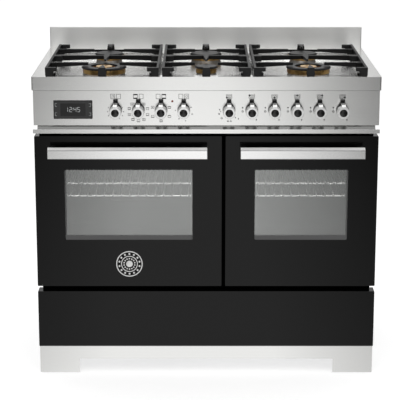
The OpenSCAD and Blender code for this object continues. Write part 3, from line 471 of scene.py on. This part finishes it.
class Shape:
    """A mesh being gathered from simple outlines that lie in a plane facing -Y."""

    def __init__(self):
        self.bm = bmesh.new()

    def slab(self, points, y, depth):
        """A flat outline of (x, z) points whose face is depth in front of y."""
        front = [self.bm.verts.new((x, y - depth, z)) for x, z in points]
        back = [self.bm.verts.new((x, y, z)) for x, z in points]
        self.bm.faces.new(front)
        self.bm.faces.new(list(reversed(back)))
        count = len(points)
        for i in range(count):
            j = (i + 1) % count
            self.bm.faces.new((front[j], front[i], back[i], back[j]))

    def frame(self, outer, inner, y, depth):
        """The band between two outlines with as many points each."""
        count = len(outer)
        rings = []
        for points, offset in ((outer, depth), (inner, depth), (inner, 0), (outer, 0)):
            rings.append([self.bm.verts.new((x, y - offset, z)) for x, z in points])
        for ring in range(4):
            a, b = rings[ring], rings[(ring + 1) % 4]
            for i in range(count):
                j = (i + 1) % count
                self.bm.faces.new((a[i], b[i], b[j], a[j]))

    def fold(self, points, x0, x1):
        """A folded sheet's outline of (y, z) points, run from x0 to x1."""
        left = [self.bm.verts.new((x0, y, z)) for y, z in points]
        right = [self.bm.verts.new((x1, y, z)) for y, z in points]
        self.bm.faces.new(left)
        self.bm.faces.new(list(reversed(right)))
        for i in range(len(points)):
            j = (i + 1) % len(points)
            self.bm.faces.new((left[j], left[i], right[i], right[j]))

    def turned(self, profile, x, y, z, count=48):
        """A turned piece on an axis along Y: (radius, distance in front of y), centre first."""
        rings = []
        for r, out in profile:
            if r == 0:
                rings.append([self.bm.verts.new((x, y - out, z))] * count)
            else:
                rings.append([self.bm.verts.new((px, y - out, pz))
                              for px, pz in circle(x, z, r, count)])
        for a, b in zip(rings, rings[1:]):
            for i in range(count):
                j = (i + 1) % count
                corners = list(dict.fromkeys((a[i], a[j], b[j], b[i])))
                self.bm.faces.new(corners)
        if len(set(rings[-1])) > 1:
            self.bm.faces.new(rings[-1])

    def finish(self, name, material, body, smooth=False):
        bmesh.ops.recalc_face_normals(self.bm, faces=self.bm.faces)
        mesh = bpy.data.meshes.new(name)
        self.bm.to_mesh(mesh)
        self.bm.free()
        mesh.materials.append(material)
        for polygon in mesh.polygons:
            polygon.use_smooth = smooth
        if smooth:
            mesh.set_sharp_from_angle(angle=math.radians(35))
        piece = bpy.data.objects.new(name, mesh)
        bpy.context.scene.collection.objects.link(piece)
        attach(piece, body)
        return piece


def circle(x, z, r, count=24):
    step = 2 * math.pi / count
    return [(x + r * math.cos(i * step), z + r * math.sin(i * step)) for i in range(count)]


def rectangle(x, z, w, h):
    return [(x - w / 2, z - h / 2), (x + w / 2, z - h / 2),
            (x + w / 2, z + h / 2), (x - w / 2, z + h / 2)]


def in_metres(profile):
    return tuple((r * MM, out * MM) for r, out in profile)


PRINT = 0.12 * MM     # how far a printed mark stands proud
GAS_MARKS = {         # each gas knob's burner: its column and row in the icon over the knob
    "front_left": (-1, 0), "rear_left": (-1, 1), "front_centre": (0, 0),
    "rear_centre": (0, 1), "rear_right": (1, 1), "front_right": (1, 0),
}
OVEN_KNOBS = ("main_thermostat", "main_selector", "second_selector", "second_thermostat")


def box_middle(node):
    lo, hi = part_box(node)
    return (lo.x + hi.x) / 2 / MM


def outline(shape, points, inner, y=None):
    """A line drawn as the band between two outlines, in millimetres on the panel."""
    y = face_y if y is None else y
    shape.frame(scaled(points), scaled(inner), y, PRINT)


def scaled(points):
    return [(x * MM, z * MM) for x, z in points]


def spot(shape, points, y=None):
    shape.slab(scaled(points), face_y if y is None else y, PRINT)


def ring(shape, x, z, r, line=0.9, count=20):
    outline(shape, circle(x, z, r, count), circle(x, z, r - line, count))


def box_line(shape, x, z, w, h, line=0.8):
    outline(shape, rectangle(x, z, w, h), rectangle(x, z, w - 2 * line, h - 2 * line))


def flame(x, z, w, h):
    """A drop with a bent tip, as printed for a flame."""
    r = w / 2
    low = []
    for degrees in range(160, 381, 20):
        a = math.radians(degrees)
        low.append((x + r * math.cos(a), z - h / 2 + r + r * math.sin(a)))
    tip = [(x + 0.16 * w, z + 0.12 * h), (x + 0.10 * w, z + h / 2), (x - 0.24 * w, z + 0.16 * h)]
    return low + tip


def shrunk(points, x, z, factor):
    return [(x + (px - x) * factor, z + (pz - z) * factor) for px, pz in points]


def flame_line(shape, x, z, w, h):
    whole = flame(x, z, w, h)
    outline(shape, whole, shrunk(whole, x, z - 0.10 * h, 0.5))


def gas_marks():
    icons = Shape()
    marks = Shape()
    for name, (column, row) in GAS_MARKS.items():
        x = box_middle(name + "_knob")
        for i in (-1, 0, 1):
            for j in (0, 1):
                cx, cz = x + 6.3 * i, ICON_Z + 6.3 * (j - 0.5)
                if (i, j) == (column, row):
                    spot(icons, circle(cx, cz, 2.9, 16))
                else:
                    ring(icons, cx, cz, 2.8, 1.15, 16)
        if name == "front_left":
            for dx, dz, r in ((-27, 0.5, 1.8), (-24, -5, 1.5)):
                spot(marks, circle(x + dx, MARK_Z + dz, r, 14))
            spot(marks, flame(x - 28.5, MARK_Z - 11.5, 4.4, 6.0))
            flame_line(marks, x - 21, MARK_Z - 24, 6.0, 7.2)
            for dx in (-3, 5):
                flame_line(marks, x + dx, MARK_Z - 32.5, 5.2, 6.6)
            for dx, dz in ((18, -23), (27, -26)):
                spot(marks, flame(x + dx, MARK_Z + dz, 3.4, 4.6))
        else:
            spot(marks, circle(x - 26, MARK_Z + 6, 2.1, 16))
            flame_line(marks, x - 26, MARK_Z - 4, 6.5, 8)
            spot(marks, flame(x + 13.7, MARK_Z - 29, 4.0, 5.0))
    icons.finish("gas_knob_icons", black_ink, "cabinet")
    marks.finish("gas_knob_marks", black_ink, "cabinet")


def oven_icons():
    """Two boxes over each oven knob, one for each oven; the one it sets is picked out."""
    icons = Shape()
    for name, side, kind in (("main_thermostat", -1, "dial"), ("main_selector", -1, "bars"),
                             ("second_selector", 1, "bars"), ("second_thermostat", 1, "dial")):
        x = box_middle(name + "_knob")
        for s in (-1, 1):
            cx = x + 8.2 * s
            box_line(icons, cx, ICON_Z, 12.6, 14.4, 1.1)
            if s != side:
                continue
            if kind == "bars":
                for dz in (-5.2, 5.2):
                    spot(icons, rectangle(cx, ICON_Z + dz, 10.6, 3.2))
            else:
                ring(icons, cx, ICON_Z, 3.4, 0.8, 16)
                spot(icons, rectangle(cx + 1.6, ICON_Z + 1.6, 1.0, 3.4))
    icons.finish("oven_knob_icons", black_ink, "cabinet")


def oven_mark(shape, x, z, kind):
    """A printed oven function: an empty box and its heat lines, fan or lamp."""
    box_line(shape, x, z, 8.8, 7.4, 1.0)
    if kind in ("top", "both"):
        spot(shape, rectangle(x, z + 2.0, 6.2, 1.0))
    if kind in ("low", "both"):
        spot(shape, rectangle(x, z - 2.0, 6.2, 1.0))
    if kind == "fan":
        ring(shape, x, z, 2.2, 0.8, 12)
    if kind == "lamp":
        spot(shape, circle(x, z, 1.5, 12))


def oven_marks():
    marks = Shape()
    x = box_middle("main_thermostat_knob")
    for dx, dz in ((22.6, 0.9), (19, 12.3), (19.5, -11), (10.6, -19.4),
                   (-23.8, 0.9), (-20.8, 12.5), (-21.2, -11)):
        spot(marks, circle(x + dx, RING_Z + dz, 1.35, 12))
    x = box_middle("main_selector_knob")
    for dx, z, kind in ((-18, 816, "lamp"), (15.4, 816, "fan"), (-26, 802.6, "both"),
                        (26, 802.6, "top"), (-26, 785.2, "fan"), (26, 785.2, "low"),
                        (-16, 771, "both"), (0, 767, "low"), (15.4, 771, "fan")):
        oven_mark(marks, x + dx, z, kind)
    x = box_middle("second_selector_knob")
    for dx, z, kind in ((-24, 806.5, "lamp"), (24, 806.5, "both"), (-24, 780, "low"),
                        (24, 780, "top"), (0, 767, "both")):
        oven_mark(marks, x + dx, z, kind)
    x = box_middle("second_thermostat_knob")
    for dx, z, r in ((-24.2, 797.6, 1.4), (21, 806.5, 1.8), (24, 786.8, 1.8),
                     (-13.4, 773, 1.8), (5.2, 767, 1.4)):
        spot(marks, circle(x + dx, z, r, 12))
    marks.finish("oven_knob_marks", grey_ink, "cabinet")


SEGMENTS = {"1": "bc", "2": "abged", "4": "fgbc", "5": "afgcd"}
SEGMENT_BARS = {      # each segment's middle and size, in millimetres
    "a": (0, 6.4, 6, 1), "b": (3.3, 3.2, 1, 5.6), "c": (3.3, -3.2, 1, 5.6), "d": (0, -6.4, 6, 1),
    "e": (-3.3, -3.2, 1, 5.6), "f": (-3.3, 3.2, 1, 5.6), "g": (0, 0, 6, 1),
}
DISC_PROFILE = ((0, 1.5), (3, 1.42), (6, 1.15), (8.6, 0.75), (10.4, 0.3), (11.1, 0))


def display_face():
    """The clock display: a grey border, a darker screen and four touch corners."""
    lo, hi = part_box("display")
    y = lo.y
    x0, x1, z0, z1 = (v / MM for v in (lo.x, hi.x, lo.z, hi.z))
    cx, cz, w, h = (x0 + x1) / 2, (z0 + z1) / 2, x1 - x0, z1 - z0
    border = Shape()
    outline(border, rectangle(cx, cz - 0.5, w - 5, h - 5),
            rectangle(cx, cz - 0.5, w - 40, h - 17), y)
    border.finish("display_border", border_print, "cabinet")
    light = Shape()
    for s in (-1, 1):
        for dz in (-13.5, 13.5):
            x, z = cx + s * 48.5, cz + dz
            for bar in (rectangle(x + s * 2.6, z, 1.2, 9.6), rectangle(x, z + 4.2, 5.2, 1.2),
                        rectangle(x, z - 4.2, 5.2, 1.2)):
                spot(light, bar, y)
    light.finish("display_corners", corner_light, "cabinet")
    digits = Shape()
    for place, digit in zip((-18.0, -6.2, 6.2, 16.6), "1245"):
        for segment in SEGMENTS[digit]:
            dx, dz, sw, sh = SEGMENT_BARS[segment]
            spot(digits, rectangle(cx - 0.5 + place + dx, cz + dz, sw, sh), y)
    for dz in (2.4, -2.4):
        spot(digits, rectangle(cx - 0.3, cz + dz, 1.3, 1.3), y)
    digits.finish("display_digits", white_light, "cabinet")


def knob_discs():
    """The domed black disc in the front of each knob."""
    for name in OVEN_KNOBS + tuple(GAS_MARKS):
        lo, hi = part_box(name + "_knob")
        disc = Shape()
        disc.turned(in_metres(DISC_PROFILE),
                    (lo.x + hi.x) / 2, lo.y + 0.49 * MM, lo.z + knob_r)
        disc.finish(name + "_disc", disc_black, name + "_knob", smooth=True)


def medallion():
    """A plain turned medallion on the left door."""
    x, z = MEDALLION
    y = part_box("left_door_panel")[0].y
    sides = 64
    ground = Shape()
    ground.turned(in_metres(((0, 0.8), (37, 0.8), (37, 0))), x * MM, y, z * MM, sides)
    ground.finish("medallion_ground", medallion_black, "left_door")
    rings = Shape()
    for outer, inner, h in ((39, 35.8, 1.9), (24.6, 22.0, 1.7)):
        profile = ((inner, 0.7), (inner + 0.3, h), (outer - 0.4, h), (outer, h - 0.6),
                   (outer, 0.0))
        loop = []
        for r, d in in_metres(profile):
            loop.append([rings.bm.verts.new((px, y - d, pz))
                         for px, pz in circle(x * MM, z * MM, r, sides)])
        for a, b in zip(loop, loop[1:]):
            for i in range(sides):
                j = (i + 1) % sides
                rings.bm.faces.new((a[i], a[j], b[j], b[i]))
    rings.turned(in_metres(((0, 1.9), (3, 1.8), (7.5, 1.2), (9.6, 0.95), (10, 0.7))),
                 x * MM, y, z * MM, 48)
    rings.finish("medallion_rings", medal_metal, "left_door", smooth=True)
    beads = Shape()
    for count, radius, size in ((14, 30.2, 3.1), (14, 16.0, 2.4)):
        for i in range(count):
            a = 2 * math.pi * (i + 0.5) / count
            bx, bz = x + radius * math.cos(a), z + radius * math.sin(a)
            profile = ((0, 1.8), (0.5 * size, 1.6), (0.85 * size, 1.2), (size, 0.75))
            beads.turned(in_metres(profile), bx * MM, y, bz * MM, 14)
    beads.finish("medallion_beads", medal_metal, "left_door", smooth=True)


def window_recess_shades():
    """Grey strips along the foot and the outer side of each oven window: painted shade standing in
    for the shaded sill and side wall of the window recess.
    """
    for side in ("left", "right"):
        lo, hi = WINDOWS[side]
        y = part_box(side + "_door_glass")[0].y
        border = Shape()
        spot(border, rectangle((lo[0] + hi[0]) / 2, lo[1] + 7, hi[0] - lo[0] - 0.6, 14), y)
        border.finish(side + "_window_foot_shade", recess_shade_grey, side + "_door")
        edge = Shape()
        x = lo[0] + 2 if side == "left" else hi[0] - 2
        spot(edge, rectangle(x, (lo[1] + hi[1]) / 2 + 7, 3.4, hi[1] - lo[1] - 15), y)
        edge.finish(side + "_window_edge_shade", recess_shade_grey, side + "_door")


def rack_wire_ends():
    """Dark caps on the racks' front wires, one at the end of each long wire: painted shade of the
    long wires' ends.
    """
    ends = Shape()
    lo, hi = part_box("oven_racks")
    y = lo.y
    for z in (hi.z - 2 * WIRE_R * MM - 0.8 * MM, lo.z + 3 * MM):
        for middle, half in RACK_SPANS:
            count = int((2 * half - 20) // WIRE_PITCH)
            for i in range(count + 1):
                x = (middle + (i - count / 2) * WIRE_PITCH) * MM
                ends.turned(in_metres(((0, 1.2), (1.9, 0.9), (2.3, 0))), x, y, z, 10)
    ends.finish("rack_wire_ends", wire_end_shade, "cabinet", smooth=True)


def hob_rim_shadow():
    """A thin dark slab under the hob's rim, on the control panel's face: painted shadow under the
    rim's lip.
    """
    rim_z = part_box("hob_top")[0].z
    foot_z = rim_z - 1.3 * MM
    rim_shadow_strip = Shape()
    rim_shadow_strip.slab([(panel_lo.x, foot_z), (panel_hi.x, foot_z),
               (panel_hi.x, rim_z), (panel_lo.x, rim_z)], face_y, 0.4 * MM)
    rim_shadow_strip.finish("hob_rim_shadow", rim_shadow_grey, "cabinet")


def door_strip():
    """The strip over the doors. Its slanted face ends at the side panels, its upright runs on."""
    lo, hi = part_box("trim_strip")
    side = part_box("side_panels")[1].x
    sheet, rise, back = 1.5 * MM, 12 * MM, 8.5 * MM
    y0, z0, z1 = lo.y, lo.z, hi.z
    fold = z0 + rise
    strip = Shape()
    strip.fold([(y0, z0), (y0, fold), (y0 + sheet, fold - 0.4 * MM), (y0 + sheet, z0)], lo.x, hi.x)
    piece = strip.finish("door_strip", steel, "cabinet")
    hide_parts("trim_strip")
    slope = Shape()
    slope.fold([(y0, fold), (y0 + back, z1), (hi.y, z1), (hi.y, z1 - sheet),
                (y0 + back + 0.6 * MM, z1 - sheet), (y0 + sheet, fold - 0.4 * MM)], -side, side)
    slope.finish("door_strip_slope", shaded_strip_steel, "cabinet")


disc_black = smooth_plastic("knob_disc_black", 0.006, 0.12, 0.00001, level=0.45)
border_print = ink("display_border_print", 0.045)
corner_light = lit_ink("display_corner_light", (0.30, 0.31, 0.31, 1.0))
medallion_black = smooth_plastic("medallion_black", 0.003, 0.30, 0.00001, level=0.15)
medal_metal = satin_silver()
# painted shade of the oven windows' recesses
recess_shade_grey = ink("window_recess_shade_grey", 0.115)
# painted shadow under the hob's rim
rim_shadow_grey = ink("hob_rim_shadow_grey", 0.16)
# a dark copy of the steel: painted shade on the long wires' ends
wire_end_shade = brushed_steel("wire_end_painted_shade", 0.10, 0.35, 0.5, along=(300, 300, 300))

gas_marks()
oven_icons()
oven_marks()
display_face()
knob_discs()
medallion()
window_recess_shades()
rack_wire_ends()
hob_rim_shadow()
door_strip()


# ---------- light, floor and camera ----------

AMBIENT = 0.62                      # the world's level where it isn't seen or mirrored
WALLS = (0.03, 0.18, 1.0, 0.28)     # mirrored world: from, to sideways; level at each
CEILING = (0.35, 0.75, 1.0, 0.55)   # the same, upwards
SIDE_LEVEL = 0.08                   # the mirrored floor's level far to the sides
FADE = (0.26, 1.12)                 # from and to which distance from its middle it fades, m
FADE_MIDDLE = -0.05
FLOOR_LIFT = 0.55                   # light that the floor adds where the camera sees it
FLOOR_HALF = 14.0
RACK_LIGHT = 0.00028                # W for each mm of half width
RACK_LEVELS = (0.5283, 0.5663)      # heights of the racks' front wires, m
RACK_WIRE_Y = -0.2035
RACK_LIGHT_Y = -0.2245
RACK_LIGHT_RISE = 0.012
EYE = (-0.017, -4.675, 1.612)
LENS = 140.28
TILT = 13.77                        # degrees under level
YAW = 0.017


def world_light():
    """White to the camera; mirrored, darker at the sides and overhead; else a plain level."""
    world = bpy.data.worlds.new("studio")
    bpy.context.scene.world = world
    world.use_nodes = True
    tree = world.node_tree
    back = tree.nodes["Background"]
    path = tree.nodes.new("ShaderNodeLightPath")
    seen = tree.nodes.new("ShaderNodeMath")
    seen.operation = "MAXIMUM"
    tree.links.new(path.outputs["Is Camera Ray"], seen.inputs[0])
    tree.links.new(path.outputs["Is Glossy Ray"], seen.inputs[1])
    through = tree.nodes.new("ShaderNodeMath")
    through.operation = "MAXIMUM"
    tree.links.new(seen.outputs[0], through.inputs[0])
    tree.links.new(path.outputs["Is Transmission Ray"], through.inputs[1])
    level = tree.nodes.new("ShaderNodeMapRange")
    level.inputs["To Min"].default_value = AMBIENT
    level.inputs["To Max"].default_value = 1.0
    tree.links.new(through.outputs[0], level.inputs["Value"])
    # where metal mirrors the studio, its side walls and ceiling are darker than front and back
    place = tree.nodes.new("ShaderNodeTexCoord")
    split = tree.nodes.new("ShaderNodeSeparateXYZ")
    tree.links.new(place.outputs["Generated"], split.inputs[0])
    sideways = tree.nodes.new("ShaderNodeMath")
    sideways.operation = "ABSOLUTE"
    tree.links.new(split.outputs["X"], sideways.inputs[0])
    walls = tree.nodes.new("ShaderNodeMapRange")
    walls.interpolation_type = "SMOOTHSTEP"
    for socket, value in zip(("From Min", "From Max", "To Min", "To Max"), WALLS):
        walls.inputs[socket].default_value = value
    tree.links.new(sideways.outputs[0], walls.inputs["Value"])
    ceiling = tree.nodes.new("ShaderNodeMapRange")
    for socket, value in zip(("From Min", "From Max", "To Min", "To Max"), CEILING):
        ceiling.inputs[socket].default_value = value
    tree.links.new(split.outputs["Z"], ceiling.inputs["Value"])
    room = tree.nodes.new("ShaderNodeMath")
    room.operation = "MULTIPLY"
    tree.links.new(walls.outputs["Result"], room.inputs[0])
    tree.links.new(ceiling.outputs["Result"], room.inputs[1])
    dim = tree.nodes.new("ShaderNodeMix")
    tree.links.new(path.outputs["Is Glossy Ray"], dim.inputs["Factor"])
    dim.inputs["A"].default_value = 1.0
    tree.links.new(room.outputs[0], dim.inputs["B"])
    strength = tree.nodes.new("ShaderNodeMath")
    strength.operation = "MULTIPLY"
    tree.links.new(level.outputs["Result"], strength.inputs[0])
    tree.links.new(dim.outputs["Result"], strength.inputs[1])
    tree.links.new(strength.outputs[0], back.inputs["Strength"])
    back.inputs["Color"].default_value = (1, 1, 1, 1)


def soft_light(name, place, target, size, watts):
    data = bpy.data.lights.new(name, "AREA")
    data.shape = "RECTANGLE"
    data.size, data.size_y = size
    data.energy = watts
    lamp = bpy.data.objects.new(name, data)
    lamp.location = place
    lamp.rotation_mode = "QUATERNION"
    lamp.rotation_quaternion = (Vector(target) - Vector(place)).to_track_quat("-Z", "Y")
    bpy.context.scene.collection.objects.link(lamp)


def floor():
    """A pale floor: white to the camera, and fading sideways where metal reflects it."""
    f = Finish("pale_floor")
    f.colour(f.mix(f.noise(1.5), grey(0.78), grey(0.82)))
    f.roughness(f.span(f.noise(30.0), 0.7, 0.85))
    path = f.add("LightPath")
    sideways = f.math("ABSOLUTE", f.math("SUBTRACT", f.axis("X"), FADE_MIDDLE))
    fade = f.span(sideways, 1.0, SIDE_LEVEL, *FADE)
    reflected = f.add("Emission", {"Color": (1, 1, 1, 1), "Strength": fade})
    lift = f.add("Emission", {"Color": (1, 1, 1, 1), "Strength": FLOOR_LIFT})
    seen = f.add("AddShader")
    f.feed(seen, 0, f.shader.outputs["BSDF"])
    f.feed(seen, 1, lift.outputs["Emission"])
    for_camera = f.add("MixShader", {"Fac": path.outputs["Is Camera Ray"]})
    f.feed(for_camera, 1, f.shader.outputs["BSDF"])
    f.feed(for_camera, 2, seen.outputs["Shader"])
    for_metal = f.add("MixShader", {"Fac": path.outputs["Is Glossy Ray"]})
    f.feed(for_metal, 1, for_camera.outputs["Shader"])
    f.feed(for_metal, 2, reflected.outputs["Emission"])
    out = next(n for n in f.tree.nodes if n.type == "OUTPUT_MATERIAL")
    f.feed(out, "Surface", for_metal.outputs["Shader"])
    half = FLOOR_HALF
    mesh = bpy.data.meshes.new("floor")
    mesh.from_pydata([(-half, -half, 0), (half, -half, 0), (half, half, 0), (-half, half, 0)],
                     [], [(0, 1, 2, 3)])
    mesh.materials.append(f.material)
    ground = bpy.data.objects.new("floor", mesh)
    bpy.context.scene.collection.objects.link(ground)


def camera():
    data = bpy.data.cameras.new("camera")
    data.sensor_width = 36.0
    data.lens = LENS
    data.clip_start, data.clip_end = 0.1, 60.0
    eye = bpy.data.objects.new("camera", data)
    eye.location = EYE
    eye.rotation_euler = (math.radians(90 - TILT), 0, math.radians(YAW))
    bpy.context.scene.collection.objects.link(eye)
    bpy.context.scene.camera = eye


camera()
world_light()
floor()
soft_light("key_softbox", (0.0, -2.6, 2.9), (0, 0, 0.5), (3.2, 2.2), 22)
for side, (middle, half) in zip(("left", "right"), RACK_SPANS):
    for level, z in zip(("low", "high"), RACK_LEVELS):
        soft_light("%s_%s_rack_light" % (side, level),
                   (middle * MM, RACK_LIGHT_Y, z + RACK_LIGHT_RISE), (middle * MM, RACK_WIRE_Y, z),
                   (1.96 * half * MM, 0.004), RACK_LIGHT * half)
soft_light("top_softbox", (0.0, 0.9, 2.6), (0, 0, 0.8), (3.4, 2.4), 14)

scene = bpy.context.scene
scene.view_settings.view_transform = "Standard"
